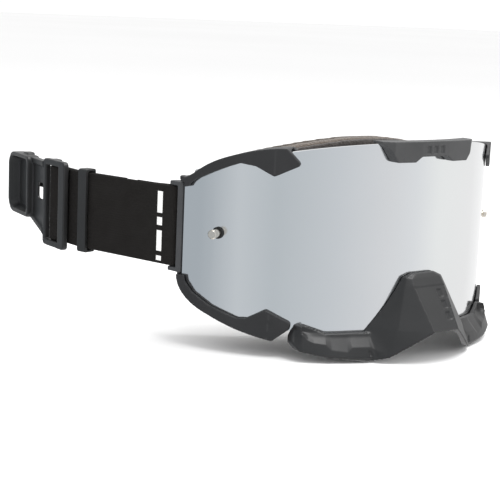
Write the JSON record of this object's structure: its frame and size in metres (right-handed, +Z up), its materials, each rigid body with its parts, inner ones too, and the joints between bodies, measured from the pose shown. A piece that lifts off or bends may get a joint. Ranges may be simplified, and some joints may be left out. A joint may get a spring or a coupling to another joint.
{
  "type": "motorcycle goggles",
  "caption": "Motorcycle goggles with a frameless mirrored cylindrical lens, clawed side arms, ridged nose guard, foam face ring and short elastic straps ending in hook buckles.",
  "frame": {"origin": "centre of the face opening, where the brow foam meets the forehead, level with the middle of the straps", "axes": "+X to the wearer's left, +Y backwards through the head, +Z up; the lens faces -Y"},
  "size_m": [0.2358, 0.2442, 0.106],
  "materials": {
    "frame_rubber": "matt flexible frame",
    "mirror_pane": "silver mirror coating",
    "clear_pane": "light smoke, clear",
    "spacer": "black closed-cell gasket",
    "vent_foam": "open-cell filter foam",
    "dense_foam": "dense grey foam",
    "soft_foam": "soft brown-grey foam",
    "fleece": "brushed fleece",
    "arm_plastic": "fine moulded texture",
    "trim_plastic": "fine moulded texture, faceted",
    "guard_plastic": "fine moulded texture, faceted",
    "bracket_plastic": "satin",
    "buckle_plastic": "satin",
    "webbing": "woven elastic",
    "grommet_rubber": "black",
    "post_metal": "satin nickel",
    "pin_steel": "turned"
  },
  "bodies": {
    "root": {"frame": "frame_rubber", "outer_lens": "mirror_pane", "inner_lens": "clear_pane", "lens_spacer": "spacer", "top_vent_foam": "vent_foam", "bottom_vent_foam": "vent_foam", "dense_foam": "dense_foam", "soft_foam": "soft_foam", "fleece_layer": "fleece", "brow_piece": "trim_plastic", "nose_guard": "guard_plastic", "left_upper_arm": "arm_plastic", "left_lower_arm": "arm_plastic", "left_hinge_pin": "pin_steel", "left_post_grommet": "grommet_rubber", "left_tear_off_post": "post_metal", "left_post_nut": "pin_steel", "right_upper_arm": "arm_plastic", "right_lower_arm": "arm_plastic", "right_hinge_pin": "pin_steel", "right_post_grommet": "grommet_rubber", "right_tear_off_post": "post_metal", "right_post_nut": "pin_steel"},
    "left_outrigger": {"left_outrigger": "bracket_plastic", "left_strap": "webbing"},
    "left_keeper": {"left_keeper": "buckle_plastic"},
    "left_strap_end": {"left_strap_end": "webbing"},
    "left_hook": {"left_hook_buckle": "buckle_plastic"},
    "right_outrigger": {"right_outrigger": "bracket_plastic", "right_strap": "webbing"},
    "right_keeper": {"right_keeper": "buckle_plastic"},
    "right_strap_end": {"right_strap_end": "webbing"},
    "right_hook": {"right_hook_buckle": "buckle_plastic"}
  },
  "joints": [
    {"name": "left_outrigger_swing", "type": "hinge", "parent": "root", "child": "left_outrigger", "pos_m": [0.0908, 0.0193, 0], "axis": [0, 0, -1], "range_deg": [-12, 8]},
    {"name": "left_strap_stretch", "type": "slide", "parent": "left_outrigger", "child": "left_strap_end", "axis": [0.2504, 0.9681, 0], "range_m": [0, 0.02], "stiffness_N_per_m": 400, "deforming": ["left_strap"]},
    {"name": "left_keeper_slide", "type": "slide", "parent": "left_outrigger", "child": "left_keeper", "axis": [0.2504, 0.9681, 0], "range_m": [-0.02, 0]},
    {"name": "left_hook_swing", "type": "hinge", "parent": "left_strap_end", "child": "left_hook", "pos_m": [0.11314, 0.11061, 0], "axis": [0, 0, 1], "range_deg": [-2, 30]},
    {"name": "right_outrigger_swing", "type": "hinge", "parent": "root", "child": "right_outrigger", "pos_m": [-0.0908, 0.0193, 0], "axis": [0, 0, 1], "range_deg": [-12, 8]},
    {"name": "right_strap_stretch", "type": "slide", "parent": "right_outrigger", "child": "right_strap_end", "axis": [-0.2504, 0.9681, 0], "range_m": [0, 0.02], "stiffness_N_per_m": 400, "deforming": ["right_strap"]},
    {"name": "right_keeper_slide", "type": "slide", "parent": "right_outrigger", "child": "right_keeper", "axis": [-0.2504, 0.9681, 0], "range_m": [-0.02, 0]},
    {"name": "right_hook_swing", "type": "hinge", "parent": "right_strap_end", "child": "right_hook", "pos_m": [-0.11314, 0.11061, 0], "axis": [0, 0, -1], "range_deg": [-2, 30]}
  ]
}
